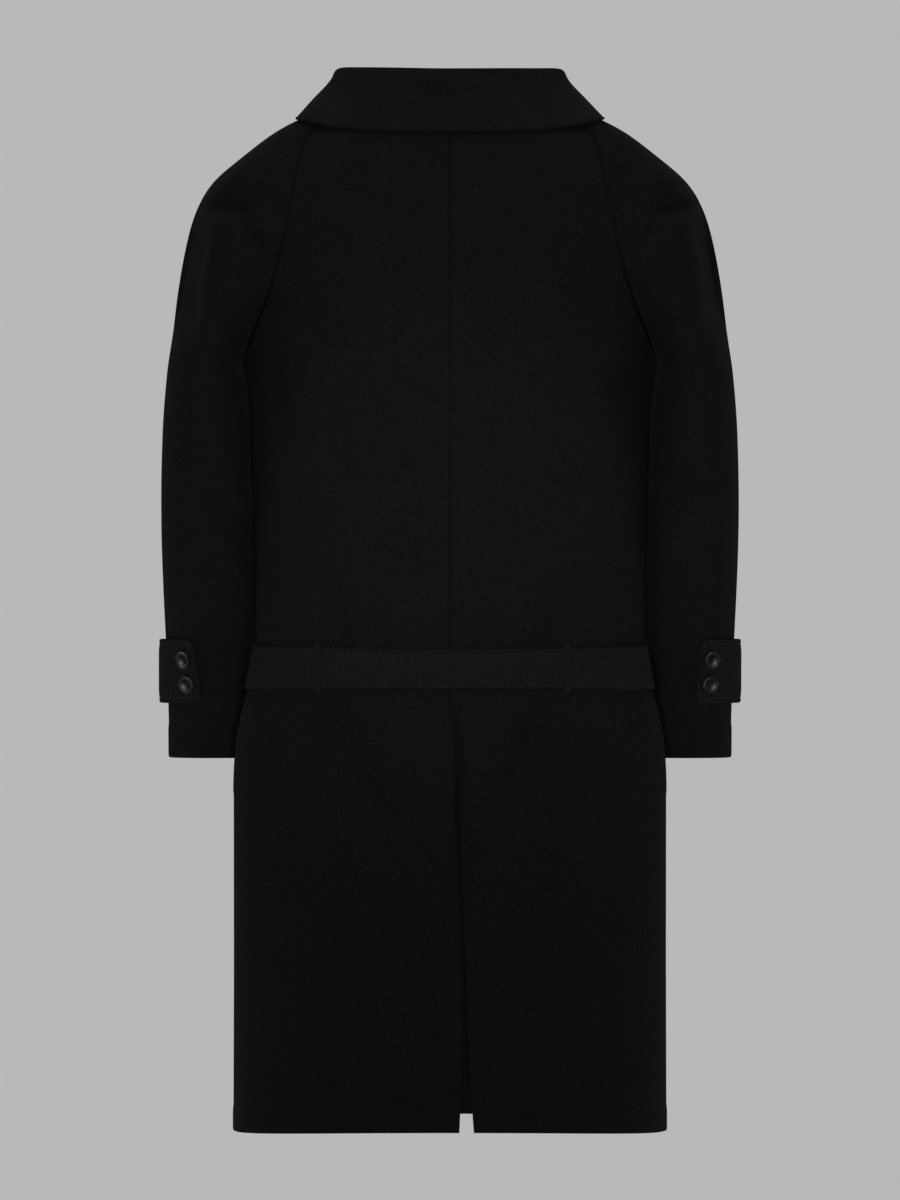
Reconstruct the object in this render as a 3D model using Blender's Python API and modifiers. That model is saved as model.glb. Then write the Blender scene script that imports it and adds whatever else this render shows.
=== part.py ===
import math

import bmesh
import bpy
import numpy as np
from mathutils import Vector

# A belted double-breasted wool coat, filled out as it is worn, with nobody in it.
# Sizes are in millimetres. The back faces -Y, the front +Y, the wearer's right is +X.
# The origin is between the shoulders, at the height of the collar's lower edge.

MM = 0.001
CLOTH = 2.5
SEAM_GAP = 0.3
SEAM_RUNS_ON = 0.35
SQUARENESS = 2.2
SLEEVE_HEAD_HEIGHT = 90.0
SLEEVE_FOLD_FADE = {"inside": 0.5, "outside": 0.35}
SLEEVE_BLUNTNESS = 0.35
SLEEVE_BLUNT_FROM_Z = -320.0
SLEEVE_BLUNT_OVER = 110.0
UNDERARM_Z = -260.0
NECKLINE_Z = 28.0
HEM_Z = -1090.5
HEM_SIDE_DROP = 7.0
HEM_DROP_FROM_Z = -950.0
CUFF_Z = -689.5
VENT_TOP_Z = -638.0
UNDERLAP_WIDTH = 30.0
UNDERLAP_SHORTER = 21.5
UNDERLAP_RISES_FROM_Z = -1000.0
UNDERLAP_SEAM_X = 0.2
UNDERLAP_TUCK_ABOVE = 5.0
SEAM_COLUMN = 8.0
SEAM_TURN_X = 16.0
FRONT_OVERLAP = 95.0
LAP_LIFT = 4.4
LAP_FADE_X = 150.0
LAP_FADE_OVER_X = 40.0
LAP_FADE_Z = -60.0
LAP_FADE_OVER_Z = 90.0
LAPEL_BREAK_Z = -330.0
LAPEL_TOP_Z = -4.0
LAPEL_LIFT = 5.4
LAPEL_BULGE = 2.0
LAPEL_ROLL_OUT = 4.4
LAPEL_ROLL_LIFT = 0.3
LAPEL_ROLL_TURN = 1.2
LAPEL_COVERED_OUT = 2.0
LAPEL_FIRST_LIFT = 4.6
LAPEL_LOW_ABOVE_BREAK = 14.0
LAPEL_ROLLS_ABOVE_CROSS = 12.0
LAPEL_EDGE_START = {-1: 0.12, 1: 0.5}
LAPELS_CROSS_Z = -150.0
RIGHT_LAPEL_LOW_Z = -236.0
RIGHT_LAPEL_COVERED = 0.34
RIGHT_LAPEL_GAP = 10.0
ROLL_TOP_X = 106.0
COLLAR_ROLL = 4.6
COLLAR_ROLL_TOP = 2.6
COLLAR_ROLL_DROP = 9.0
COLLAR_ROLL_SHARE = 0.35
BELT_TOP_Z = -568.0
BELT_BOTTOM_Z = -611.0
BELT_SIDE_SPREAD = 3.0
BELT_THICK = 4.0
BELT_CLEAR = 0.7
BELT_PRESS_REACH = 30.0
BACK_FOLD_SIDE_FADE = 0.3
BELT_TAIL_LIFT = 10.5
BELT_TAIL_RISES = {"before": 0.42, "over": 0.26}
BELT_START_TURN = -0.1
BELT_TAIL_TURN = 0.72
BELT_OVER_LAP = 0.4
BELT_LAP_X = 172.0
BELT_LAP_OVER_X = 50.0
BELT_LOOP_X = {"left": -143.0, "right": 126.0}
BELT_LOOP_WIDTH = 9.0
BELT_LOOP_THICK = 1.1
BELT_LOOP_CLEAR = 1.35
STRAP_TOP_Z = -558.0
STRAP_BOTTOM_Z = -628.0
STRAP_THICK = 3.0
STRAP_FLARE = 0.4
STRAP_END = {"left": {"turn": 1.085, "slant": 0.15}, "right": {"turn": 1.057, "slant": 0.07}}
STRAP_LAST_TURN = 3.72
BUTTON_WIDTH = 20.0
CUFF_BUTTON_Z = {"upper": -579.5, "lower": -606.5}
CUFF_BUTTON_SHARE = 0.06
FRONT_BUTTON_WIDTH = 25.0
FRONT_BUTTON_Z = {"top": -352.0, "middle": -470.0, "low": -700.0}
BUTTON_COLUMN_X = 72.0
BUTTON_CLEAR = 0.4
BUCKLE_HALF_WIDTH = 29.0
BUCKLE_INSIDE = 25.5
BUCKLE_OUTSIDE = 31.0
BUCKLE_POST = 6.0
BUCKLE_CLEAR = 0.8
BUCKLE_THICK = 3.4
BUCKLE_BAR_THICK = 2.0
BUCKLE_JOIN = 2.0


class Table:
    # Rows of sizes with named columns, read at any place along the first column.
    def __init__(self, names, rows):
        rows = sorted(rows)
        self.place = np.array([row[0] for row in rows], float)
        self.column = {name: np.array([row[i] for row in rows], float) for i, name in enumerate(names)}

    def at(self, name, place):
        x = self.place
        y = self.column[name]
        if place <= x[0]:
            return float(y[0])
        if place >= x[-1]:
            return float(y[-1])
        k = int(np.searchsorted(x, place)) - 1
        slopes = np.gradient(y, x)
        span = x[k + 1] - x[k]
        t = (place - x[k]) / span
        start = (1 + 2 * t) * (1 - t) ** 2 * y[k] + t * (1 - t) ** 2 * span * slopes[k]
        end = t * t * (3 - 2 * t) * y[k + 1] + t * t * (t - 1) * span * slopes[k + 1]
        return float(start + end)


BODY = Table(
    ("z", "half_width", "widest_y", "back_y", "front_y"),
    [
        (-1100, 238, -10, -140, 140),
        (-900, 237.5, -10, -137, 138),
        (-760, 237.5, -11, -132, 134),
        (-683, 236.5, -12, -127, 129),
        (-647, 231.5, -12, -123, 126),
        (-611, 221.5, -12, -118.5, 121),
        (-568, 213, -12, -117.5, 119),
        (-540, 214, -12, -123.5, 124),
        (-500, 214.5, -12, -126, 127),
        (-430, 215.5, -12, -130, 130),
        (-350, 217.5, -12, -135, 132),
        (-300, 219.5, -12, -137, 132),
        (-278, 221.5, -12, -137, 131.5),
        (-260, 228, -12, -137, 131),
        (-200, 228, -10, -136, 128),
        (-150, 228, -8, -133, 122),
        (-100, 228, -6, -126, 112),
        (-50, 228, -5, -112, 95),
        (-12, 228, -5, -94, 77),
        (8, 228, -6, -83, 64),
        (28, 228, -8, -69, 50),
    ],
)

RAGLAN_BACK = Table(
    ("z", "x", "y"),
    [
        (28, 118, -46),
        (8, 142, -64),
        (-12, 156, -77),
        (-50, 167, -94),
        (-90, 174.5, -104),
        (-120, 180.5, -107),
        (-155, 188.5, -103),
        (-190, 200, -88),
        (-224, 215, -60),
        (-246, 225, -34),
        (-260, 228, -12),
    ],
)

RAGLAN_FRONT = Table(
    ("z", "x", "y"),
    [
        (28, 112, 18),
        (8, 128, 38),
        (-12, 138, 53),
        (-50, 149, 73),
        (-90, 156, 87),
        (-120, 162, 94),
        (-155, 172, 96),
        (-190, 187, 86),
        (-224, 207, 60),
        (-246, 222, 22),
        (-260, 228, -12),
    ],
)

SLEEVE = Table(
    ("z", "outer_x", "outer_y", "back_y", "front_y", "inner_x", "inner_y"),
    [
        (28, 126, -14, -46.5, 19, 228, -12),
        (13, 163, -14, -61.5, 35.5, 228, -12),
        (4, 184, -13, -68.5, 43, 228, -12),
        (-9, 202.5, -12, -79, 54, 228, -12),
        (-31, 230.5, -10, -90.5, 68, 228, -12),
        (-53, 258, -8, -99, 78.5, 228, -12),
        (-75, 274, -6, -105, 86, 228, -12),
        (-97, 283, -4, -109.5, 92, 228, -12),
        (-130, 291.5, 0, -112, 98, 228, -12),
        (-185, 301, 5, -110, 103, 228, -12),
        (-229, 306, 8, -104, 104, 228, -12),
        (-260, 311, 10, -97, 104, 228, -12),
        (-280, 313, 12, -92, 105, 220.5, 14),
        (-300, 315, 14, -86, 106, 216.5, 29),
        (-360, 318, 20, -72, 108, 215, 37),
        (-450, 318.5, 30, -52, 112, 213, 43),
        (-515, 316.5, 40, -36, 117, 211.5, 49),
        (-552, 314.8, 46.5, -24.5, 120.2, 212, 53),
        (-590, 313.5, 53, -13, 124.2, 217.5, 58.5),
        (-640, 312, 62, 2, 130, 221, 66),
        (-690, 312, 70.5, 15, 136.5, 222, 74),
    ],
)

# Soft troughs in the sleeves and the back, each along a line from one point to another.
SLEEVE_FOLDS = [
    {"from": (226, -86), "to": (270, -84), "half_width": 11, "depth": 6},
    {"from": (276, -106), "to": (290, -190), "half_width": 12, "depth": 7},
    {"from": (290, -190), "to": (281, -246), "half_width": 12, "depth": 6},
    {"from": (272, -396), "to": (226, -452), "half_width": 16, "depth": 6},
]
BACK_FOLDS = [
    {"from": (126, -505), "to": (118, -556), "half_width": 22, "depth": 5},
    {"from": (165, -505), "to": (158, -556), "half_width": 18, "depth": -5},
    {"from": (196, -300), "to": (150, -210), "half_width": 24, "depth": 5},
    {"from": (140, -640), "to": (70, -730), "half_width": 26, "depth": 5},
    {"from": (185, -690), "to": (196, -980), "half_width": 30, "depth": 5},
]

# The left half's vent edge, and where, how gently and how deep the right half turns in under it.
VENT = Table(
    ("z", "left_edge_x", "right_turn_x", "turn_width", "depth"),
    [
        (-1100, 9.7, 25, 3.2, 7),
        (-1075, 11, 23, 3.2, 7),
        (-1020, 13.5, 18.5, 3.2, 7),
        (-960, 13.5, 17.5, 3.2, 7),
        (-800, 7, 11.5, 4, 8),
        (-745, 4.5, 9.6, 7, 10),
        (-700, 4.5, 11.5, 11, 11),
        (-660, 4.5, 11.5, 11, 8),
        (-646, 4.0, 11, 10, 6),
    ],
)

# Half of the collar, from the middle of the back round to the end at the lapel.
COLLAR = Table(
    (
        "station", "base_x", "base_y", "base_z", "fold_x", "fold_y", "fold_z",
        "edge_x", "edge_y", "edge_z", "bow",
    ),
    [
        (0, 0, -70, 28.6, 0, -88, 64.5, 0, -96, -6.7, 2),
        (1, 56, -66, 28.6, 60, -83, 65, 81, -91, -4.4, 3),
        (2, 92, -56, 28.6, 96, -68, 66, 121, -82.5, -0.4, 4),
        (3, 115, -44, 28.6, 116, -44, 68, 153, -75, 7.0, 5),
        (3.5, 121, -30, 28.6, 123.5, -37, 67.5, 168, -66, 12.9, 6.5),
        (4, 124, -14, 28.6, 126, -14, 64.5, 168.5, -22, 14, -2),
        (5, 112, 20, 28.6, 118, 16, 60, 167.5, 22, 12.6, -1),
        (5.5, 107, 29, 25.5, 110, 25.5, 54.5, 166, 43, 7.2, 0),
        (6, 101, 37, 21, 106, 34, 46, 158, 54, -2, 0),
        (7, 93, 51, 9, 98, 54, 26, 142, 68, -22, 0),
        (8, 86, 62, -3, 90, 69, 8, 127, 84, -41, 0),
    ],
)

# How far a cuff strap stands off its sleeve, from its buttoned end round to its sewn end.
STRAP_GAP = Table(("along", "gap"), [(0, 0.9), (0.15, 1.6), (0.32, 5.8), (0.6, 4.5), (0.85, 2.0), (1, 0.9)])

# The lapel's free edge as x and z on the front, bent between its low end and its tip.
LAPEL_EDGE = {"low": (-94, -329), "bend": (92, -262), "tip": (140, -84)}

UPPER_ROWS = [-260, -246, -224, -195, -165, -135, -110, -90, -70, -53, -36, -20, -6, 8, 20, 28]
BODY_ROWS = [
    HEM_Z, -1070, -1010, -950, -890, -830, -770, -715, -675, -646, -636, -620, -611, -590, -568, -552, -535,
    -500, -460, -420, -380, -340, -300, -278,
]
SLEEVE_ROWS = [CUFF_Z, -660, -628, -593, -558, -520, -480, -450, -420, -385, -345, -310, -282]


def clean_scene():
    for item in list(bpy.data.objects):
        bpy.data.objects.remove(item, do_unlink=True)
    group = bpy.data.collections.new("belted_coat")
    bpy.context.scene.collection.children.link(group)
    return group


def make_material(name, colour, roughness, metallic):
    material = bpy.data.materials.new(name)
    material.use_nodes = True
    shader = material.node_tree.nodes["Principled BSDF"]
    shader.inputs["Base Color"].default_value = (*colour, 1)
    shader.inputs["Roughness"].default_value = roughness
    shader.inputs["Metallic"].default_value = metallic
    return material


def ease(value):
    value = min(max(value, 0.0), 1.0)
    return value * value * (3 - 2 * value)


def power(value, exponent):
    return math.copysign(abs(value) ** exponent, value)


def fold_depth(x, z, folds):
    # Depth of all the soft troughs at one place, fading out past both ends of each line.
    total = 0.0
    for fold in folds:
        start = np.array(fold["from"], float)
        line = np.array(fold["to"], float) - start
        place = np.array([x, z], float) - start
        share = min(max(float(place @ line) / float(line @ line), 0.0), 1.0)
        away = float(np.linalg.norm(place - share * line))
        total += fold["depth"] * math.exp(-((away / fold["half_width"]) ** 2))
    return total


def back_fold(x, z):
    # The back's folds, pressed flat where the belt lies on them.
    from_belt = max(z - BELT_TOP_Z, BELT_BOTTOM_Z - z, 0.0)
    return fold_depth(x, z, BACK_FOLDS) * ease(from_belt / BELT_PRESS_REACH)


def reach(z, end):
    # Half-width of the whole oval that a section of the back or the front belongs to.
    if z <= UNDERARM_Z:
        return BODY.at("half_width", z)
    seam = RAGLAN_BACK if end == "back" else RAGLAN_FRONT
    widest = BODY.at("widest_y", z)
    share = (seam.at("y", z) - widest) / (BODY.at(end + "_y", z) - widest)
    share = min(max(share, 0.0), 0.97)
    return seam.at("x", z) / (1 - share**SQUARENESS) ** (1 / SQUARENESS)


def angle_at(x, z, end):
    share = min(abs(x) / reach(z, end), 1.0)
    return math.copysign(math.asin(share ** (SQUARENESS / 2)), x)


def section(angle, z, end):
    # A point of the body's oval; the angle is 0 at the middle and a right angle at the side.
    widest = BODY.at("widest_y", z)
    x = reach(z, end) * power(math.sin(angle), 2 / SQUARENESS)
    y = widest + (BODY.at(end + "_y", z) - widest) * power(math.cos(angle), 2 / SQUARENESS)
    return Vector((x, y, z))


def slope_normal(place, u, v, step_u, step_v, outward):
    across = place(u + step_u, v) - place(u - step_u, v)
    along = place(u, v + step_v) - place(u, v - step_v)
    normal = across.cross(along).normalized()
    return normal if normal.dot(outward) > 0 else -normal


def body_point(angle, z, end):
    spot = section(angle, z, end)
    outward = Vector((spot.x, spot.y - BODY.at("widest_y", z), 0))
    low, high = BODY_ROWS[0], NECKLINE_Z
    level = min(max(z, low + 1), high - 1)
    normal = slope_normal(lambda a, b: section(a, b, end), angle, level, 0.004, 0.5, outward)
    return spot, normal


def edge_angle(z, end):
    # The angle at which a row stops: the side seam, or the raglan seam above the underarm.
    if z <= UNDERARM_Z:
        return math.pi / 2
    seam = RAGLAN_BACK if end == "back" else RAGLAN_FRONT
    return angle_at(seam.at("x", z), z, end)


def hem_level(z, angle):
    near_hem = ease((HEM_DROP_FROM_Z - z) / (HEM_DROP_FROM_Z - HEM_Z))
    return z - HEM_SIDE_DROP * near_hem * math.sin(angle) ** 2


def back_grid(side, columns):
    # Rows of one half of the back, from the middle of the back out to the side.
    grid = []
    for z in BODY_ROWS + UPPER_ROWS:
        open_vent = z < VENT_TOP_Z
        last = edge_angle(z, "back")
        if side < 0:
            first = -VENT.at("left_edge_x", z) if open_vent else 0.0
            inner = []
        else:
            tuck = z < VENT_TOP_Z + UNDERLAP_TUCK_ABOVE
            turn = VENT.at("right_turn_x", z) if tuck else SEAM_TURN_X
            half_turn = VENT.at("turn_width", z) / 2
            first = turn + half_turn
            deep = VENT.at("depth", z) if tuck else 0.0
            if open_vent:
                edge, next_x = -UNDERLAP_WIDTH, -SEAM_COLUMN
            else:
                edge = UNDERLAP_SEAM_X if tuck else 0.0
                next_x = (edge + turn - half_turn) / 2
            inner = [(edge, deep), (next_x, deep), (turn - half_turn, deep)]
        row = []
        for x, deep in inner:
            spot, normal = body_point(angle_at(x, z, "back"), z, "back")
            spot -= normal * deep
            rise = (UNDERLAP_RISES_FROM_Z - z) / (UNDERLAP_RISES_FROM_Z - HEM_Z)
            spot.z += UNDERLAP_SHORTER * ease(rise)
            row.append((spot, normal))
        start = angle_at(first, z, "back")
        count = columns - len(inner)
        for i in range(count):
            angle = start + (last - start) * i / (count - 1)
            spot, normal = body_point(angle, z, "back")
            spot -= normal * back_fold(spot.x, z) * ease((last - angle) / BACK_FOLD_SIDE_FADE)
            spot.z = hem_level(z, angle)
            row.append((spot, normal))
        grid.append(row)
    return grid


def roll_x(z):
    # The front edge in its own side's direction: straight below, along the roll line above.
    share = (z - LAPEL_BREAK_Z) / (NECKLINE_Z - LAPEL_BREAK_Z)
    return -FRONT_OVERLAP + max(share, 0.0) * (ROLL_TOP_X + FRONT_OVERLAP)


def lap_lift(x, z):
    # The overlapping front stands off the other one, but not beside the raglan seam.
    return LAP_LIFT * ease((LAP_FADE_X - x) / LAP_FADE_OVER_X) * ease((LAP_FADE_Z - z) / LAP_FADE_OVER_Z)


def front_point(side, x, z):
    spot, normal = body_point(angle_at(x, z, "front"), z, "front")
    if side < 0:
        spot += normal * lap_lift(x, z)
    return spot, normal


def front_grid(side, columns):
    # Rows of one front, from its free edge out to the side.
    grid = []
    for z in BODY_ROWS + UPPER_ROWS:
        last = edge_angle(z, "front")
        start = angle_at(roll_x(z), z, "front")
        row = []
        for i in range(columns):
            angle = start + (last - start) * i / (columns - 1)
            spot, normal = body_point(angle, z, "front")
            if side < 0:
                spot += normal * lap_lift(spot.x, z)
            spot.z = hem_level(z, angle)
            row.append((spot, normal))
        grid.append(row)
    return grid


def sleeve_section(turn, z):
    # A point of the sleeve. The turn runs 0 to 4: back seam, back, outside, front, front seam.
    outer = Vector((SLEEVE.at("outer_x", z), SLEEVE.at("outer_y", z), z))
    if z >= UNDERARM_Z:
        seams = [Vector((seam.at("x", z), seam.at("y", z), z)) for seam in (RAGLAN_BACK, RAGLAN_FRONT)]
        round_start = 1 - ease((z - UNDERARM_Z) / SLEEVE_HEAD_HEIGHT)
    else:
        seams = [Vector((SLEEVE.at("inner_x", z), SLEEVE.at("inner_y", z), z))] * 2
        round_start = 1.0
    end = seams[0] if turn <= 2 else seams[1]
    bulge = SLEEVE.at("back_y" if turn <= 2 else "front_y", z)
    middle = Vector(((end.x + outer.x) / 2, bulge, z))
    part = turn if turn <= 2 else 4 - turn
    if part <= 1:
        angle = part * math.pi / 2
        flat = 1 - part
        below = (SLEEVE_BLUNT_FROM_Z - z) / SLEEVE_BLUNT_OVER
        blunt = 1 - SLEEVE_BLUNTNESS * ease(below) if turn <= 2 else 1
        rounded = math.cos(angle) ** blunt
        x = middle.x + (end.x - middle.x) * (round_start * rounded + (1 - round_start) * flat)
        y = end.y + (middle.y - end.y) * math.sin(angle) ** blunt
    else:
        angle = (part - 1) * math.pi / 2
        x = middle.x + (outer.x - middle.x) * math.sin(angle)
        y = outer.y + (middle.y - outer.y) * math.cos(angle)
    return Vector((x, y, z))


def sleeve_point(turn, z):
    spot = sleeve_section(turn, z)
    inside_x = (SLEEVE.at("outer_x", z) + sleeve_section(0, z).x) / 2
    inside_y = (SLEEVE.at("back_y", z) + SLEEVE.at("front_y", z)) / 2
    outward = Vector((spot.x - inside_x, spot.y - inside_y, 0.3))
    near = min(max(turn, 0.02), 3.98)
    level = min(max(z, CUFF_Z + 1), NECKLINE_Z - 1)
    if abs(level - UNDERARM_Z) < 1:
        level = UNDERARM_Z - 1.0
    normal = slope_normal(sleeve_section, near, level, 0.015, 0.5, outward)
    return spot, normal


def sleeve_grid(half, columns):
    grid = []
    for z in SLEEVE_ROWS + UPPER_ROWS:
        row = []
        for i in range(columns):
            turn = 2 * i / (columns - 1) + (0 if half == "back" else 2)
            spot, normal = sleeve_point(turn, z)
            if half == "back":
                inside = ease(turn / SLEEVE_FOLD_FADE["inside"])
                outside = ease((2 - turn) / SLEEVE_FOLD_FADE["outside"])
                spot -= normal * fold_depth(spot.x, z, SLEEVE_FOLDS) * inside * outside
            row.append((spot, normal))
        grid.append(row)
    return grid


def share_seam_normals(body, sleeve, body_column, sleeve_column):
    # Both walls of a raglan seam get the same direction of thickness where they run on into each other.
    rows = len(UPPER_ROWS)
    for k in range(-rows, 0):
        mine = body[k][body_column]
        other = sleeve[k][sleeve_column]
        if mine[1].dot(other[1]) > SEAM_RUNS_ON:
            middle = (mine[1] + other[1]).normalized()
            body[k][body_column] = (mine[0], middle)
            sleeve[k][sleeve_column] = (other[0], middle)


def trim_edges(grid, trims):
    # Moves the edges of a grid of points in by half a seam gap.
    first, last, low, high = [amount * SEAM_GAP / 2 for amount in trims]
    moved = [[(spot.copy(), normal) for spot, normal in row] for row in grid]
    for row, old in zip(moved, grid):
        row[0][0].xyz += (old[1][0] - old[0][0]).normalized() * first
        row[-1][0].xyz += (old[-2][0] - old[-1][0]).normalized() * last
    for i in range(len(grid[0])):
        moved[0][i][0].xyz += (grid[1][i][0] - grid[0][i][0]).normalized() * low
        moved[-1][i][0].xyz += (grid[-2][i][0] - grid[-1][i][0]).normalized() * high
    return moved


def finish_mesh(name, shape, group, material):
    bmesh.ops.recalc_face_normals(shape, faces=shape.faces)
    mesh = bpy.data.meshes.new(name)
    shape.to_mesh(mesh)
    shape.free()
    mesh.materials.append(material)
    item = bpy.data.objects.new(name, mesh)
    group.objects.link(item)
    return item


def wall(name, grid, thick, group, material, side=1, trims=(1, 1, 0, 0)):
    # A closed cloth wall: the grid is its outer face, the inner face lies one thickness inside.
    shape = bmesh.new()
    rings = []
    for row in trim_edges(grid, trims):
        outer = [spot.copy() for spot, normal in row]
        inner = [spot - normal * thick for spot, normal in row]
        ring = outer + inner[::-1]
        rings.append([shape.verts.new((side * p.x * MM, p.y * MM, p.z * MM)) for p in ring])
    for low, high in zip(rings, rings[1:]):
        for i in range(len(low)):
            k = (i + 1) % len(low)
            shape.faces.new((low[i], low[k], high[k], high[i]))
    for ring in (rings[0], rings[-1]):
        for i in range(len(ring) // 2 - 1):
            shape.faces.new((ring[i], ring[i + 1], ring[-2 - i], ring[-1 - i]))
    return finish_mesh(name, shape, group, material)


def collar_profile(station):
    # Points up the stand, over the fold and down the fall, at one place round the neck.
    def place(part):
        return Vector([COLLAR.at(part + axis, station) for axis in ("_x", "_y", "_z")])

    base, fold, edge = place("base"), place("fold"), place("edge")
    outward = Vector((edge.x - fold.x, edge.y - fold.y, 0)).normalized()
    bow = COLLAR.at("bow", station)
    drop = Vector((0, 0, min(COLLAR_ROLL_DROP, (fold.z - base.z) * COLLAR_ROLL_SHARE)))
    turn_in = fold - outward * COLLAR_ROLL - drop
    turn_out = fold + outward * COLLAR_ROLL - drop
    shoulder = Vector((0, 0, -COLLAR_ROLL_TOP))
    points = [base, base.lerp(turn_in, 0.5), turn_in, fold - outward * COLLAR_ROLL_TOP + shoulder, fold]
    points.append(fold + outward * COLLAR_ROLL_TOP + shoulder)
    for share in (0, 0.25, 0.5, 0.75, 1):
        sag = outward * (bow * 4 * share * (1 - share))
        points.append(turn_out.lerp(edge, share) - sag)
    return points


def collar_grid(stations):
    last = COLLAR.place[-1]
    places = np.linspace(-last, last, stations)
    profiles = []
    for place in places:
        points = collar_profile(abs(place))
        if place < 0:
            points = [Vector((-p.x, p.y, p.z)) for p in points]
        profiles.append(points)
    grid = []
    for i, points in enumerate(profiles):
        before = profiles[max(i - 1, 0)]
        after = profiles[min(i + 1, len(profiles) - 1)]
        row = []
        for k, spot in enumerate(points):
            up = points[min(k + 1, len(points) - 1)] - points[max(k - 1, 0)]
            along = after[k] - before[k]
            row.append((spot, up.cross(along).normalized()))
        grid.append(row)
    return grid


def bent_line(low, bend, high, share):
    return (1 - share) ** 2 * low + 2 * share * (1 - share) * bend + share**2 * high


def lapel_start(side, share):
    # Where a row of the lapel starts: on its roll line, or at the other front's edge where that covers it.
    if side < 0:
        low_z = LAPEL_BREAK_Z + LAPEL_LOW_ABOVE_BREAK
        z = low_z + share * (LAPEL_TOP_Z - low_z)
        return np.array([roll_x(z), z]), True
    if share < RIGHT_LAPEL_COVERED:
        part = share / RIGHT_LAPEL_COVERED
        z = RIGHT_LAPEL_LOW_Z + part * (LAPELS_CROSS_Z - RIGHT_LAPEL_LOW_Z)
        return np.array([RIGHT_LAPEL_GAP - roll_x(z), z]), False
    part = (share - RIGHT_LAPEL_COVERED) / (1 - RIGHT_LAPEL_COVERED)
    z = LAPELS_CROSS_Z + part * (LAPEL_TOP_Z - LAPELS_CROSS_Z)
    x = max(roll_x(z), RIGHT_LAPEL_GAP - roll_x(LAPELS_CROSS_Z))
    return np.array([x, z]), z > LAPELS_CROSS_Z + LAPEL_ROLLS_ABOVE_CROSS


def lapel_grid(side, columns, rows):
    # The turned-back front edge, on the front's own points moved out.
    low, bend, tip = [np.array(LAPEL_EDGE[name], float) for name in ("low", "bend", "tip")]
    first = LAPEL_EDGE_START[side]
    grid = []
    for k in range(rows):
        share = k / (rows - 1)
        start, rolled = lapel_start(side, share)
        edge = bent_line(low, bend, tip, first + (1 - first) * share)
        row = []
        for i in range(columns):
            across = max(i - 1, 0) / (columns - 2)
            x, z = start + (edge - start) * across
            spot, normal = front_point(side, x, z)
            lift = LAPEL_LIFT + LAPEL_BULGE * math.sin(math.pi * across)
            if i == 0 and rolled:
                spot += Vector((-LAPEL_ROLL_OUT, 0, 0)) + normal * LAPEL_ROLL_LIFT
                normal = (normal + Vector((-LAPEL_ROLL_TURN, 0, 0))).normalized()
            elif i == 0:
                spot += Vector((-LAPEL_COVERED_OUT, 0, 0)) + normal * lift
            else:
                spot += normal * (lift if i > 1 else LAPEL_FIRST_LIFT)
            row.append((spot, normal))
        grid.append(row)
    return grid


def girdle(turn, z):
    # A point round the whole body; the turn is 0 at the middle of the back.
    angle = math.atan2(math.sin(turn), abs(math.cos(turn)))
    spot, normal = body_point(angle, z, "back" if math.cos(turn) >= 0 else "front")
    return spot, normal


def belt_grid(segments):
    # From under the buckle once round the body and on over itself through the buckle.
    start, tail_end = BELT_START_TURN, 2 * math.pi + BELT_TAIL_TURN
    rise_from = 2 * math.pi - BELT_TAIL_RISES["before"]
    grid = []
    for k in range(segments):
        travel = start + (tail_end - start) * k / (segments - 1)
        turn = math.pi - travel
        spread = BELT_SIDE_SPREAD * math.sin(turn) ** 2
        top, bottom = BELT_TOP_Z + spread, BELT_BOTTOM_Z - spread
        row = []
        for z in (top, (top + bottom) / 2, bottom):
            spot, normal = girdle(turn, z)
            clear = BELT_CLEAR + BELT_THICK
            if spot.y > 0:
                clear += (LAP_LIFT + BELT_OVER_LAP) * ease((BELT_LAP_X - abs(spot.x)) / BELT_LAP_OVER_X)
            clear += BELT_TAIL_LIFT * ease((travel - rise_from) / BELT_TAIL_RISES["over"])
            row.append((spot + normal * clear, normal))
        grid.append(row)
    return grid


def belt_loop(name, x, group, material):
    # A narrow strip sewn to the back above and below the belt and lying over it.
    over = BELT_THICK + BELT_LOOP_CLEAR
    path = [
        (BELT_TOP_Z + 5, 1.2), (BELT_TOP_Z + 3.8, 2.2), (BELT_TOP_Z + 1.7, over), (BELT_TOP_Z - 10, over),
        (BELT_BOTTOM_Z + 10, over), (BELT_BOTTOM_Z - 2.2, over), (BELT_BOTTOM_Z - 4.6, 1.6),
        (BELT_BOTTOM_Z - 6, 1.0),
    ]
    grid = []
    for z, lift in path:
        row = []
        for shift in (-BELT_LOOP_WIDTH / 2, 0, BELT_LOOP_WIDTH / 2):
            place = x + shift
            spot, normal = body_point(angle_at(place, z, "back"), z, "back")
            spot -= normal * back_fold(abs(place), z)
            row.append((spot + normal * (lift + BELT_LOOP_THICK), normal))
        grid.append(row)
    return wall(name, grid, BELT_LOOP_THICK, group, material, trims=(0, 0, 0, 0))


def strap_turn(share, z, end):
    slant = (z - STRAP_BOTTOM_Z) / (STRAP_TOP_Z - STRAP_BOTTOM_Z)
    start = end["turn"] + end["slant"] * slant
    return start + (STRAP_LAST_TURN - start) * share


def strap_point(share, z, end):
    # The lower edge stands off a little more than the upper one.
    spot, normal = sleeve_point(strap_turn(share, z, end), z)
    low = (STRAP_TOP_Z - z) / (STRAP_TOP_Z - STRAP_BOTTOM_Z)
    gap = STRAP_GAP.at("gap", share) * (1 + STRAP_FLARE * low)
    return spot + normal * (gap + STRAP_THICK), normal


def strap_grid(columns, end):
    levels = np.linspace(STRAP_BOTTOM_Z, STRAP_TOP_Z, 4)
    return [[strap_point(i / (columns - 1), z, end) for i in range(columns)] for z in levels]


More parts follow.
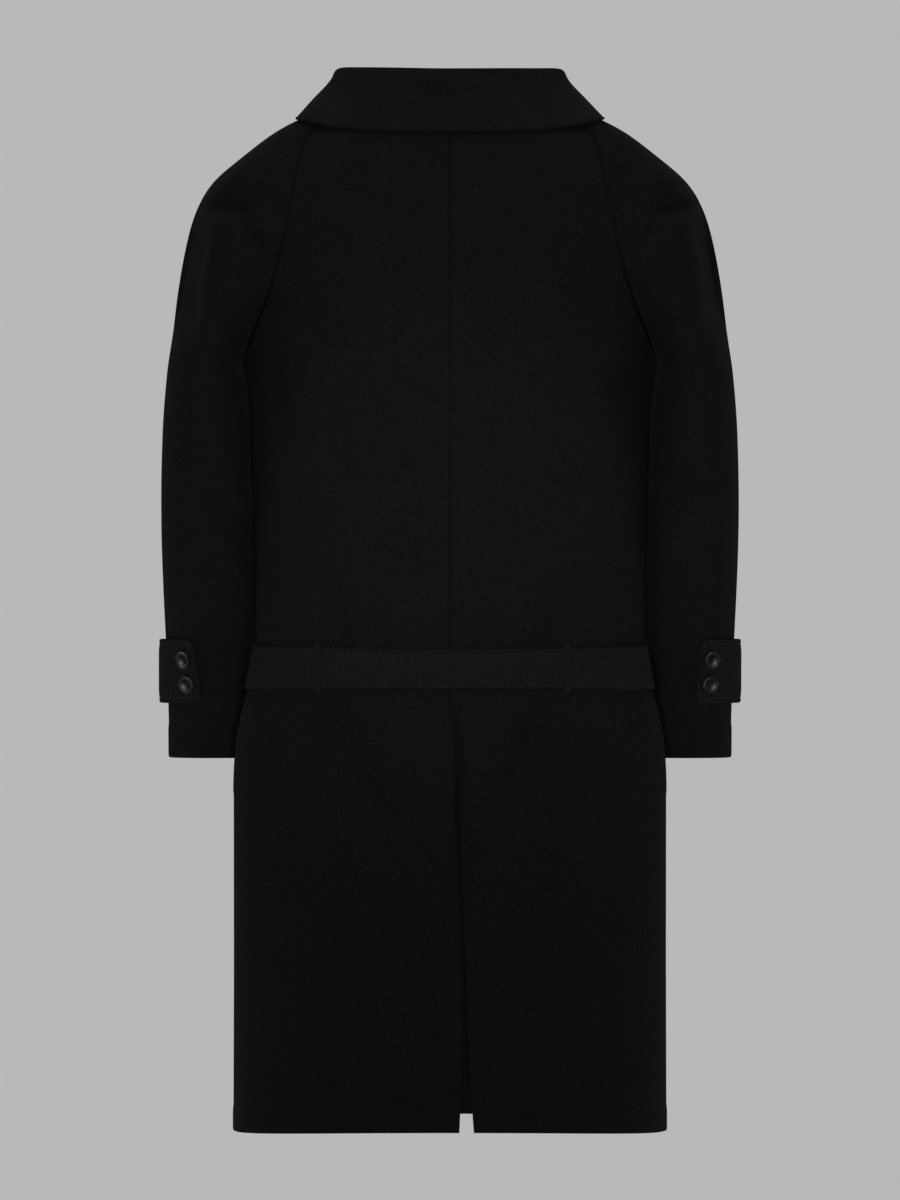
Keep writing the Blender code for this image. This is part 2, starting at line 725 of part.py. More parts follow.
def button(name, width, spot, normal, group, material):
    # A turned button: a shank side, a raised rim and a low dome inside it.
    half = width / 2
    outline = [
        (0, 0), (half * 0.55, 0), (half * 0.97, 1.1), (half, 2.2), (half * 0.93, 3.1), (half * 0.8, 2.7),
        (half * 0.45, 3.9), (0, 4.4),
    ]
    shape = bmesh.new()
    points = [shape.verts.new((x * MM, 0, z * MM)) for x, z in outline]
    for a, b in zip(points, points[1:]):
        shape.edges.new((a, b))
    mesh = bpy.data.meshes.new(name)
    shape.to_mesh(mesh)
    shape.free()
    mesh.materials.append(material)
    item = bpy.data.objects.new(name, mesh)
    group.objects.link(item)
    turn = item.modifiers.new("turn", "SCREW")
    turn.steps = 12
    turn.render_steps = 12
    turn.use_merge_vertices = True
    turn.merge_threshold = 0.00001
    turn.use_normal_calculate = True
    item.rotation_mode = "QUATERNION"
    item.rotation_quaternion = normal.to_track_quat("Z", "Y")
    item.location = (spot + normal * BUTTON_CLEAR) * MM
    return item


def box_beam(shape, low, high):
    made = bmesh.ops.create_cube(shape, size=1)
    for vertex in made["verts"]:
        for axis in range(3):
            vertex.co[axis] = (low[axis] if vertex.co[axis] < 0 else high[axis]) * MM


def buckle(group, bars, material):
    # A plain frame: its sides lie over the belt's free end, its middle bar passes under it.
    middle_z = (BELT_TOP_Z + BELT_BOTTOM_Z) / 2
    under = girdle(math.pi, BELT_BOTTOM_Z)[0].y + LAP_LIFT + BELT_OVER_LAP + BELT_CLEAR + BELT_THICK
    bar_back, bar_front = under + BUCKLE_CLEAR, under + BUCKLE_CLEAR + BUCKLE_BAR_THICK
    front_back = under + BELT_TAIL_LIFT + BUCKLE_CLEAR
    front = front_back + BUCKLE_THICK
    half = BUCKLE_HALF_WIDTH
    shape = bmesh.new()
    for low, high in ((-BUCKLE_OUTSIDE, -BUCKLE_INSIDE), (BUCKLE_INSIDE, BUCKLE_OUTSIDE)):
        box_beam(shape, (-half, bar_back, middle_z + low), (half, front, middle_z + high))
    made = finish_mesh("buckle", shape, group, material)
    posts = [
        (-half, BUCKLE_POST - half, front_back, front),
        (half - BUCKLE_POST, half, front_back, front),
        (-BUCKLE_POST / 2, BUCKLE_POST / 2, bar_back, bar_front),
    ]
    length = BUCKLE_INSIDE + BUCKLE_JOIN
    for number, (low_x, high_x, low_y, high_y) in enumerate(posts):
        extra = bmesh.new()
        box_beam(extra, (low_x, low_y, middle_z - length), (high_x, high_y, middle_z + length))
        post = finish_mesh("buckle_bar_%d" % number, extra, bars, material)
        join = made.modifiers.new("join_%d" % number, "BOOLEAN")
        join.operation = "UNION"
        join.solver = "EXACT"
        join.object = post
        post.hide_render = True
        post.display_type = "WIRE"
    return made


coat = clean_scene()
cutters = bpy.data.collections.new("joining_bars")
bpy.context.scene.collection.children.link(cutters)
wool = make_material("black_wool", (0.012, 0.012, 0.0125), 0.95, 0.0)
metal = make_material("dark_metal", (0.09, 0.09, 0.095), 0.35, 0.9)

for side, label in ((-1, "left"), (1, "right")):
    back = back_grid(side, 9 if side < 0 else 10)
    front = front_grid(side, 11)
    sleeve_back = sleeve_grid("back", 9)
    sleeve_front = sleeve_grid("front", 8)
    share_seam_normals(back, sleeve_back, -1, 0)
    share_seam_normals(front, sleeve_front, -1, -1)
    wall("back_" + label, back, CLOTH, coat, wool, side)
    wall("front_" + label, front, CLOTH, coat, wool, side)
    wall("sleeve_back_" + label, sleeve_back, CLOTH, coat, wool, side)
    wall("sleeve_front_" + label, sleeve_front, CLOTH, coat, wool, side)
    wall("lapel_" + label, lapel_grid(side, 7, 9), CLOTH, coat, wool, side, (0, 0, 0, 0))
    wall("cuff_strap_" + label, strap_grid(13, STRAP_END[label]), STRAP_THICK, coat, wool, side, (0, 0, 0, 0))
    for row_name, z in CUFF_BUTTON_Z.items():
        spot, normal = strap_point(CUFF_BUTTON_SHARE, z, STRAP_END[label])
        spot.x *= side
        normal.x *= side
        button("cuff_button_%s_%s" % (row_name, label), BUTTON_WIDTH, spot, normal, coat, metal)

wall("collar", collar_grid(33), CLOTH, coat, wool, 1, (0, 0, 0, 0))
wall("belt", belt_grid(62), BELT_THICK, coat, wool, 1, (0, 0, 0, 0))
for label, x in BELT_LOOP_X.items():
    belt_loop("belt_loop_" + label, x, coat, wool)
buckle(coat, cutters, metal)

for row_name, z in FRONT_BUTTON_Z.items():
    for label, own_x in (("left", BUTTON_COLUMN_X), ("right", -BUTTON_COLUMN_X)):
        spot, normal = front_point(-1, own_x, z)
        spot.x *= -1
        normal.x *= -1
        button("front_button_%s_%s" % (row_name, label), FRONT_BUTTON_WIDTH, spot, normal, coat, metal)
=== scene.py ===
import math

import bmesh
import bpy
import numpy as np
from mathutils import Matrix, Vector, noise
from mathutils.bvhtree import BVHTree
from mathutils.kdtree import KDTree


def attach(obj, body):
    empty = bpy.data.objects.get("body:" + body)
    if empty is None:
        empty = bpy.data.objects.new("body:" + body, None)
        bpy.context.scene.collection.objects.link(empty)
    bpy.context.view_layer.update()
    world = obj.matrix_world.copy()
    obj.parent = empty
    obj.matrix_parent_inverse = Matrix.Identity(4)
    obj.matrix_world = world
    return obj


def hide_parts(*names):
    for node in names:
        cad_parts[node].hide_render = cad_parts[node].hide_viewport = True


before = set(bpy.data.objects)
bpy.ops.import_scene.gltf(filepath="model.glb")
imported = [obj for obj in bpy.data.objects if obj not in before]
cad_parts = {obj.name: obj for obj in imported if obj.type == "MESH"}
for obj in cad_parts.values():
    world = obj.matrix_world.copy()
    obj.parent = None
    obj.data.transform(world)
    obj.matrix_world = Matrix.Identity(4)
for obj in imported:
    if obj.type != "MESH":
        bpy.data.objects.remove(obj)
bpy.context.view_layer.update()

scene = bpy.context.scene
mm = 0.001


# helpers for working on one piece at a time

def activate(piece):
    if bpy.context.object and bpy.context.object.mode != "OBJECT":
        bpy.ops.object.mode_set(mode="OBJECT")
    bpy.ops.object.select_all(action="DESELECT")
    piece.select_set(True)
    bpy.context.view_layer.objects.active = piece


def applyModifier(piece, kind, **settings):
    activate(piece)
    step = piece.modifiers.new(kind.lower(), kind)
    for name, value in settings.items():
        setattr(step, name, value)
    bpy.ops.object.modifier_apply(modifier=step.name)


def vertexArray(mesh, field="co"):
    values = np.empty(len(mesh.vertices) * 3)
    mesh.vertices.foreach_get(field, values)
    return values.reshape(-1, 3)


def softStep(values, low, high):
    share = np.clip((values - low) / (high - low), 0, 1)
    return share * share * (3 - 2 * share)


def hexColour(text):
    channels = [int(text[i:i + 2], 16) / 255 for i in (1, 3, 5)]
    linear = [c / 12.92 if c <= 0.04045 else ((c + 0.055) / 1.055) ** 2.4 for c in channels]
    return (*linear, 1.0)


# materials

def addNode(tree, kind, settings=None, links=None):
    node = tree.nodes.new(kind)
    for name, value in (settings or {}).items():
        if isinstance(name, int) or name in node.inputs:
            node.inputs[name].default_value = value
        else:
            setattr(node, name, value)
    for name, socket in (links or {}).items():
        tree.links.new(socket, node.inputs[name])
    return node


def newMaterial(name):
    material = bpy.data.materials.new(name)
    material.use_nodes = True
    tree = material.node_tree
    return material, tree, tree.nodes["Principled BSDF"]


def noiseOf(tree, place, sizeMm, detail, roughness=0.5):
    # uneven patches about sizeMm across
    settings = {"Scale": 1000 / sizeMm, "Detail": detail, "Roughness": roughness}
    return addNode(tree, "ShaderNodeTexNoise", settings, {"Vector": place}).outputs["Fac"]


def mixColours(tree, look, share):
    settings = {"data_type": "RGBA", 6: hexColour(look["dark"]), 7: hexColour(look["light"])}
    return addNode(tree, "ShaderNodeMix", settings, {0: share}).outputs[2]


def addBump(tree, shader, height, strength, depth):
    bump = addNode(tree, "ShaderNodeBump", {"Strength": strength, "Distance": depth}, {"Height": height})
    tree.links.new(bump.outputs["Normal"], shader.inputs["Normal"])


woolLook = {
    "felted_melton_wool": {"dark": "#050505", "light": "#131313"},   # deepest and palest fibres
    "melton_wool_painted_paler": {"dark": "#060606", "light": "#171717"},  # belt, straps, collar: the same wool in a paler copy, painted light where they look brighter
    "fleckMm": 1.9, "cloudMm": 60, "fibreMm": (1.1, 2.6), "fibreLay": (0, 0.25, 0.1),
    "fleckShare": 0.55, "cloudShare": 0.1, "darkAt": 0.5, "lightAt": 1.14,
    "napHeight": 0.4 * mm, "sheen": 0.006,                           # fuzz catches light at a slant
}


def feltedWool(name):
    # melton wool, woven then milled to felt: no weave shows, only a short matted nap with paler fibre ends
    material, tree, shader = newMaterial(name)
    place = addNode(tree, "ShaderNodeTexCoord").outputs["Object"]
    fleck = noiseOf(tree, place, woolLook["fleckMm"], 3.0, 0.65)
    cloud = noiseOf(tree, place, woolLook["cloudMm"], 2.0)
    across, along = woolLook["fibreMm"]
    laid = addNode(tree, "ShaderNodeMapping",
                   {"Scale": (1000 / across, 1000 / across, 1000 / along), "Rotation": woolLook["fibreLay"]},
                   {"Vector": place})
    fibre = addNode(tree, "ShaderNodeTexNoise", {"Scale": 1.0, "Detail": 2.0},
                    {"Vector": laid.outputs["Vector"]})
    nap = addNode(tree, "ShaderNodeMath", {"operation": "MULTIPLY_ADD", 1: woolLook["fleckShare"]},
                  {0: fleck, 2: fibre.outputs["Fac"]}).outputs["Value"]
    clouded = addNode(tree, "ShaderNodeMath", {"operation": "MULTIPLY_ADD", 1: woolLook["cloudShare"]},
                      {0: cloud, 2: nap}).outputs["Value"]
    pale = addNode(tree, "ShaderNodeMapRange",
                   {"From Min": woolLook["darkAt"], "From Max": woolLook["lightAt"]}, {"Value": clouded})
    colour = mixColours(tree, woolLook[name], pale.outputs["Result"])
    tree.links.new(colour, shader.inputs["Base Color"])
    addBump(tree, shader, nap, 0.7, woolLook["napHeight"])
    shader.inputs["Roughness"].default_value = 0.95
    shader.inputs["Specular IOR Level"].default_value = 0.03
    shader.inputs["Sheen Weight"].default_value = woolLook["sheen"]
    shader.inputs["Sheen Roughness"].default_value = 0.45
    return material


threadLook = {"colour": "#191919", "twistMm": 0.8, "twistHeight": 0.2 * mm}


def buttonholeThread():
    # waxed polyester thread, a little smoother and shinier than the wool
    material, tree, shader = newMaterial("waxed_thread")
    place = addNode(tree, "ShaderNodeTexCoord").outputs["Object"]
    addBump(tree, shader, noiseOf(tree, place, threadLook["twistMm"], 1.0), 0.5, threadLook["twistHeight"])
    shader.inputs["Base Color"].default_value = hexColour(threadLook["colour"])
    shader.inputs["Roughness"].default_value = 0.6
    shader.inputs["Specular IOR Level"].default_value = 0.15
    return material


metalLook = {
    "dark": "#1c1c1e", "light": "#3a3a3d", "stainMm": 3.0, "grainMm": 0.5, "grainHeight": 0.1 * mm,
    "smoothest": 0.24, "roughest": 0.46,
}


def blackenedMetal():
    # zinc alloy, die cast, plated black and rubbed: grey metal with darker stain in the recesses
    material, tree, shader = newMaterial("blackened_zinc")
    place = addNode(tree, "ShaderNodeTexCoord").outputs["Object"]
    stain = noiseOf(tree, place, metalLook["stainMm"], 4.0)
    grain = noiseOf(tree, place, metalLook["grainMm"], 2.0)
    polish = addNode(tree, "ShaderNodeMapRange",
                     {"To Min": metalLook["smoothest"], "To Max": metalLook["roughest"]}, {"Value": stain})
    tree.links.new(mixColours(tree, metalLook, stain), shader.inputs["Base Color"])
    tree.links.new(polish.outputs["Result"], shader.inputs["Roughness"])
    addBump(tree, shader, grain, 0.15, metalLook["grainHeight"])
    shader.inputs["Metallic"].default_value = 1.0
    return material


wool = feltedWool("felted_melton_wool")
# the same wool again in a paler copy: painted light for the belt, straps and collar, which look brighter
paintedPalerWool = feltedWool("melton_wool_painted_paler")
thread = buttonholeThread()
metal = blackenedMetal()
print("materials ready")


# cloth: the outer face of a CAD wall becomes one sheet, is smoothed, creased along listed lines and given its
# thickness

sheetMaking = {
    "mergeMm": 0.01, "rimSlackMm": 0.02,                                # doubled points, and a rim's height
    "rimTurn": math.radians(75), "quadTurn": math.radians(60), "quadShape": math.radians(80),
    "cornerTurn": math.radians(38), "foldTurn": math.radians(35),       # sharper turns than these stay sharp
    "roundTurn": math.radians(60), "roundSegments": 2, "smoothTurn": math.radians(50),
}


def outerFaces(shape, thickness):
    # the rim's faces hold edges as long as the wall is thick, or stand square to the sheets; of the sheets
    # left when it is taken away, the largest is the outer one
    slack = sheetMaking["rimSlackMm"]
    left = {face for face in shape.faces
            if all(abs(edge.calc_length() / mm - thickness) > slack for edge in face.edges)}
    sheets = []
    while left:
        sheet = [left.pop()]
        for face in sheet:
            flat = [edge for edge in face.edges if edge.calc_face_angle(0) < sheetMaking["rimTurn"]]
            for other in {o for edge in flat for o in edge.link_faces} & left:
                left.remove(other)
                sheet.append(other)
        sheets.append(sheet)
    return max(sheets, key=lambda faces: sum(face.calc_area() for face in faces))


def boundaryLoop(faces):
    # the points round a patch of faces, in order
    edges = {}
    for face in faces:
        for edge in face.edges:
            if sum(other in faces for other in edge.link_faces) == 1:
                a, b = edge.verts
                edges.setdefault(a, []).append(b)
                edges.setdefault(b, []).append(a)
    start = next(iter(edges))
    loop, before = [start], None
    while True:
        ahead = [v for v in edges[loop[-1]] if v is not before]
        before = loop[-1]
        if ahead[0] is start or len(loop) > len(edges):
            return [vertex.co.copy() for vertex in loop]
        loop.append(ahead[0])


def boundaryEdges(mesh):
    # each edge with cloth on one side only, and the face it belongs to
    owners = {}
    for polygon in mesh.polygons:
        for key in polygon.edge_keys:
            owners.setdefault(key, []).append(polygon)
    return {key: faces[0] for key, faces in owners.items() if len(faces) == 1}


def keepCorners(mesh):
    # where the cut edge turns sharply it stays sharp when the sheet is smoothed
    beside = {}
    for a, b in boundaryEdges(mesh):
        beside.setdefault(a, []).append(b)
        beside.setdefault(b, []).append(a)
    mesh.vertex_creases_ensure()
    for number, ends in beside.items():
        here = mesh.vertices[number].co
        before, after = [mesh.vertices[end].co for end in ends[:2]]
        if (here - before).angle(after - here) > sheetMaking["cornerTurn"]:
            mesh.vertex_creases.data[number].value = 1.0


def pressFolds(mesh):
    # folds that were ironed in stay sharp when the sheet is smoothed
    owners = {}
    for polygon in mesh.polygons:
        for key in polygon.edge_keys:
            owners.setdefault(key, []).append(polygon.normal)
    creases = mesh.edge_creases_ensure().data
    for edge in mesh.edges:
        beside = owners[edge.key]
        if len(beside) == 2 and beside[0].angle(beside[1]) > sheetMaking["foldTurn"]:
            creases[edge.index].value = 1.0


def mergedCopy(node, ending):
    # a copy of a CAD node with its doubled points merged, left in edit mode with all of it selected
    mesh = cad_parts[node].data.copy()
    mesh.materials.clear()
    piece = bpy.data.objects.new(node + ending, mesh)
    scene.collection.objects.link(piece)
    activate(piece)
    bpy.ops.object.mode_set(mode="EDIT")
    bpy.ops.mesh.select_all(action="SELECT")
    bpy.ops.mesh.remove_doubles(threshold=sheetMaking["mergeMm"] * mm)
    bpy.ops.mesh.customdata_custom_splitnormals_clear()
    return piece


def clothSheet(node, thickness, insets, levels, stitchAfter=None, corners="sharp", pressed=False):
    piece = mergedCopy(node, "_cloth")
    mesh = piece.data
    bpy.ops.mesh.tris_convert_to_quads(face_threshold=sheetMaking["quadTurn"],
                                       shape_threshold=sheetMaking["quadShape"])
    shape = bmesh.from_edit_mesh(mesh)
    outer = set(outerFaces(shape, thickness))
    for face in shape.faces:
        face.select_set(face not in outer)
    bmesh.update_edit_mesh(mesh)
    bpy.ops.mesh.delete(type="FACE")
    bpy.ops.mesh.select_all(action="SELECT")
    stitchLine = None
    for number, width in enumerate(insets):
        bpy.ops.mesh.inset(thickness=width * mm, use_boundary=True, use_even_offset=stitchAfter is not None)
        if number == stitchAfter:
            shape = bmesh.from_edit_mesh(mesh)
            stitchLine = boundaryLoop({face for face in shape.faces if face.select})
    bpy.ops.object.mode_set(mode="OBJECT")
    if corners == "sharp":
        keepCorners(mesh)
    if pressed:
        pressFolds(mesh)
    applyModifier(piece, "SUBSURF", levels=levels, render_levels=levels,
                  boundary_smooth="PRESERVE_CORNERS" if corners == "sharp" else "ALL")
    return piece, stitchLine


def edgeDistances(mesh, chosen):
    # how far each vertex is from the nearest free or sewn edge that chosen() accepts
    points = []
    for a, b in boundaryEdges(mesh):
        start, end = mesh.vertices[a].co, mesh.vertices[b].co
        if chosen((start + end) / 2):
            steps = max(1, int((end - start).length / mm))
            points += [start.lerp(end, k / steps) for k in range(steps + 1)]
    if not points:
        return np.full(len(mesh.vertices), 1.0)
    tree = KDTree(len(points))
    for number, point in enumerate(points):
        tree.insert(point, number)
    tree.balance()
    return np.array([tree.find(vertex.co)[2] for vertex in mesh.vertices])


def offEdge(mesh):
    # at each boundary vertex, the direction that leads off the sheet
    outward = np.zeros((len(mesh.vertices), 3))
    for (a, b), face in boundaryEdges(mesh).items():
        start, end = mesh.vertices[a].co, mesh.vertices[b].co
        along = (end - start).normalized()
        away = (start + end) / 2 - face.center
        away = (away - along * away.dot(along)).normalized()
        outward[a] += away
        outward[b] += away
    lengths = np.linalg.norm(outward, axis=1)
    return outward / np.where(lengths > 0, lengths, 1)[:, None]


def rolledEdge(distance, depth, width):
    # how far the cloth sinks at a distance from a line, in mm
    return -depth * np.exp(-((distance / width) ** 2))


def pressedBand(distance, height, width, soft):
    # cloth turned under along an edge lifts a band beside it, in mm
    return height * (1 - softStep(distance, width - soft, width))


def imprintHeight(flat, imprint):
    # cloth folded under and pressed shows through as a slightly raised patch
    low, high = np.array(imprint["low"]), np.array(imprint["high"])
    inside = np.minimum(flat - low, high - flat).min(axis=1)
    return imprint["height"] * softStep(inside, -imprint["soft"], imprint["soft"])


# fade and endShare are shares of a fold's length and height, the others are in widths of the fold
foldShape = {"fade": 0.3, "endShare": 0.15, "ridgeAway": 1.9, "ridgeSpread": 1.3, "reach": 3}


def creaseHeight(flat, crease):
    # height of one fold in mm at places flat = (x, z) in mm: a trough, and a softer ridge beside it
    line = np.array(crease["line"], float)
    lengths = np.linalg.norm(np.diff(line, axis=0), axis=1)
    marks = np.concatenate([[0], np.cumsum(lengths)])
    nearest = np.full(len(flat), 1e9)
    side = np.zeros(len(flat))
    share = np.zeros(len(flat))
    for k, start in enumerate(line[:-1]):
        step = line[k + 1] - start
        place = flat - start
        t = np.clip(place @ step / (step @ step), 0, 1)
        away = place - t[:, None] * step
        distance = np.linalg.norm(away, axis=1)
        closer = distance < nearest
        nearest[closer] = distance[closer]
        turn = np.sign(step[0] * place[:, 1] - step[1] * place[:, 0])
        side[closer] = (turn * distance)[closer]
        share[closer] = ((marks[k] + t * lengths[k]) / marks[-1])[closer]
    width = crease["width"]
    ends = softStep(share, 0, foldShape["fade"]) * softStep(1 - share, 0, foldShape["fade"])
    ends = foldShape["endShare"] + (1 - foldShape["endShare"]) * ends
    beside = (side - foldShape["ridgeAway"] * width) / (foldShape["ridgeSpread"] * width)
    beyond = np.maximum(nearest - foldShape["reach"] * width, 0) / width
    height = rolledEdge(nearest, crease["depth"], width) + crease.get("ridge", 0) * np.exp(-(beside ** 2))
    return height * ends * np.exp(-(beyond ** 2))


def finishCloth(piece, thickness, rounding, material):
    applyModifier(piece, "SOLIDIFY", thickness=thickness * mm, offset=-1.0)
    applyModifier(piece, "BEVEL", width=rounding * mm, segments=sheetMaking["roundSegments"],
                  limit_method="ANGLE", angle_limit=sheetMaking["roundTurn"])
    activate(piece)
    bpy.ops.object.shade_smooth_by_angle(angle=sheetMaking["smoothTurn"])
    piece.data.materials.append(material)
    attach(piece, "root")


# the coat's panels, collar and lapels: how each is cut, what it is sewn to, and its folds in mm on x and z
panels = {
    "back_left": {
        "levels": 3, "flat": (0.36, 1.15), "held": "hung",
        "sewnTo": ["back_right", "sleeve_back_left", "front_left"],
        "creases": [
            {"line": [(-124, -492), (-118, -606)], "width": 13, "depth": 6.0, "ridge": 0.6},
            {"line": [(-145, -604), (-118, -680), (-78, -740), (-50, -772)], "width": 16, "depth": 7.0,
             "ridge": 1.5},
            {"line": [(-124, -614), (-92, -676)], "width": 10, "depth": 4.5},
            {"line": [(-207, -262), (-176, -306)], "width": 16, "depth": 4.5},
        ],
        "imprints": [{"low": (-65, -1100), "high": (30, -751), "height": 0.7, "soft": 4}],
    },
    "back_right": {
        "levels": 3, "flat": (0.36, 1.15), "held": "hung",
        "sewnTo": ["back_left", "sleeve_back_right", "front_right"],
        "pressed": True,
        "creases": [
            {"line": [(115, -492), (110, -606)], "width": 13, "depth": 6.0, "ridge": -0.6},
            {"line": [(130, -604), (88, -684), (52, -742), (32, -776)], "width": 16, "depth": 7.0,
             "ridge": -1.5},
            {"line": [(104, -614), (74, -692)], "width": 10, "depth": 4.5},
            {"line": [(207, -262), (176, -306)], "width": 16, "depth": 4.5},
        ],
        "imprints": [{"low": (30, -1100), "high": (57, -690), "height": 0.7, "soft": 5}],
    },
    "front_left": {
        "levels": 2, "flat": (0.42, 1.15), "held": "hung", "sewnTo": ["back_left", "sleeve_front_left"],
        "creases": [
            {"line": [(-150, -510), (-146, -562)], "width": 12, "depth": 2.2},
            {"line": [(-160, -622), (-120, -700)], "width": 12, "depth": 2.0},
            {"line": [(-196, -270), (-160, -316)], "width": 16, "depth": 2.4},
        ],
    },
    "front_right": {
        "levels": 2, "flat": (0.42, 1.15), "held": "hung", "sewnTo": ["back_right", "sleeve_front_right"],
        "creases": [
            {"line": [(138, -512), (142, -562)], "width": 12, "depth": 2.2},
            {"line": [(150, -622), (118, -706)], "width": 12, "depth": 2.0},
            {"line": [(198, -268), (160, -312)], "width": 16, "depth": 2.4},
        ],
    },
    "sleeve_back_left": {
        "levels": 3, "flat": (0.26, 0.80), "held": "hung", "sewnTo": ["sleeve_front_left", "back_left"],
        "creases": [
            {"line": [(-274, -84), (-250, -86), (-214, -98)], "width": 9, "depth": 7.0, "ridge": -1.5},
            {"line": [(-270, -84), (-276, -110), (-283, -145), (-287, -165), (-288, -187), (-284, -228),
                      (-280, -248)], "width": 14, "depth": 7.5, "ridge": 1.0},
            {"line": [(-232, -104), (-200, -142)], "width": 9, "depth": 4.5, "ridge": 1.5},
            {"line": [(-242, -212), (-223, -238)], "width": 9, "depth": 4.5},
            {"line": [(-268, -400), (-238, -438), (-219, -458)], "width": 13, "depth": 8.0, "ridge": 2.5},
            {"line": [(-313, -318), (-302, -361)], "width": 4, "depth": -1.4},
        ],
    },
    "sleeve_back_right": {
        "levels": 3, "flat": (0.26, 0.80), "held": "hung", "sewnTo": ["sleeve_front_right", "back_right"],
        "creases": [
            {"line": [(216, -98), (250, -88), (276, -84)], "width": 9, "depth": 7.0, "ridge": -1.5},
            {"line": [(272, -88), (278, -104), (289, -146), (293, -177), (289, -226)], "width": 13,
             "depth": 7.5, "ridge": -1.0},
            {"line": [(232, -104), (204, -136)], "width": 9, "depth": 4.0},
            {"line": [(244, -206), (226, -232)], "width": 9, "depth": 4.5},
            {"line": [(276, -380), (246, -416), (224, -446)], "width": 13, "depth": 8.0, "ridge": -2.5},
        ],
    },
    "sleeve_front_left": {
        "levels": 2, "flat": (0.24, 0.80), "held": "hung", "sewnTo": ["sleeve_back_left", "front_left"],
        "creases": [
            {"line": [(-296, -388), (-262, -420), (-230, -428)], "width": 11, "depth": 3.4},
            {"line": [(-286, -446), (-256, -462), (-232, -460)], "width": 10, "depth": 2.8},
            {"line": [(-236, -222), (-262, -258)], "width": 13, "depth": 3.0},
        ],
    },
    "sleeve_front_right": {
        "levels": 2, "flat": (0.24, 0.80), "held": "hung", "sewnTo": ["sleeve_back_right", "front_right"],
        "creases": [
            {"line": [(292, -396), (258, -424), (230, -430)], "width": 11, "depth": 3.4},
            {"line": [(290, -440), (254, -464), (234, -468)], "width": 10, "depth": 2.6},
            {"line": [(234, -224), (258, -262)], "width": 13, "depth": 3.0},
        ],
    },
    "collar": {"levels": 3, "flat": (0.60, 0.16), "held": "folded", "sewnTo": ["back_left", "back_right"]},
    "lapel_left": {"levels": 2, "flat": (0.19, 0.36), "held": "folded", "sewnTo": ["front_left"]},
    "lapel_right": {"levels": 2, "flat": (0.12, 0.28), "held": "folded", "sewnTo": ["front_right"]},
}
clothEdge = {
    "insets": (0.8, 1.4), "seamDepth": 1.7, "freeDepth": 1.19, "rollWidth": 1.5,    # edges roll in
    "allowance": {"height": 0.35, "width": 12, "soft": 3},      # pressed seam allowance under the cloth
    "hem": {"height": 0.7, "width": 27, "soft": 5},
    "waveMm": 95, "waveHeight": 0.9, "waveFrom": 25, "creaseFrom": 8,
    "thickness": 2.5, "rounding": 0.8,
    "seamReach": 0.4, "onEdge": 0.01,                           # sewn edges are drawn together
}
hem = {"middleZ": -1.0885, "sideDrop": 0.007, "halfWidth": 0.228}   # a line just above the hem
vent = {"topZ": -0.636, "reachX": 0.04}
cuff = {"topZ": -0.68, "lowZ": -0.7, "fromX": 0.2}
cloths = {}


def isFree(point):
    # hem, cuffs and the vent's edges are turned and pressed, all other panel edges count as sewn
    atHem = point.z < hem["middleZ"] - hem["sideDrop"] * (point.x / hem["halfWidth"]) ** 2
    atCuff = abs(point.x) > cuff["fromX"] and cuff["lowZ"] < point.z < cuff["topZ"]
    atVent = abs(point.x) < vent["reachX"] and point.y < 0 and point.z < vent["topZ"]
    return atHem or atCuff or atVent


def makePanel(name, plan):
    piece, _ = clothSheet(name, clothEdge["thickness"], clothEdge["insets"], plan["levels"],
                          pressed=plan.get("pressed", False))
    mesh = piece.data
    spots = vertexArray(mesh)
    normals = vertexArray(mesh, "normal")
    folded = plan["held"] == "folded"
    sewn = edgeDistances(mesh, lambda p: not folded and not isFree(p)) / mm
    free = edgeDistances(mesh, lambda p: folded or isFree(p)) / mm
    height = rolledEdge(sewn, clothEdge["seamDepth"], clothEdge["rollWidth"])
    height += pressedBand(sewn, **clothEdge["allowance"])
    height += rolledEdge(free, clothEdge["freeDepth"], clothEdge["rollWidth"])
    if not folded:
        height += pressedBand(free, **clothEdge["hem"])
    fromEdge = np.minimum(sewn, free)
    waves = np.array([noise.noise(Vector(spot) / (clothEdge["waveMm"] * mm)) for spot in spots])
    height += clothEdge["waveHeight"] * waves * softStep(fromEdge, 0, clothEdge["waveFrom"])
    flat = spots[:, [0, 2]] / mm
    for crease in plan.get("creases", []):
        height += creaseHeight(flat, crease) * softStep(fromEdge, 0, clothEdge["creaseFrom"])
    for imprint in plan.get("imprints", []):
        height += imprintHeight(flat, imprint)
    spots += normals * height[:, None] * mm
    spots += offEdge(mesh) * (sewn < clothEdge["onEdge"])[:, None] * clothEdge["seamReach"] * mm
    mesh.vertices.foreach_set("co", spots.ravel())
    mesh.update()
    area = sum(polygon.area for polygon in mesh.polygons)
    # the collar takes the paler copy of the wool, painted light
    material = paintedPalerWool if name == "collar" else wool
    finishCloth(piece, clothEdge["thickness"], clothEdge["rounding"], material)
    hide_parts(name)
    cloths[name] = (piece, area)
    print("cloth", name, len(piece.data.polygons), "faces,", round(area, 4), "square metres")


for panelName, panelPlan in panels.items():
    makePanel(panelName, panelPlan)


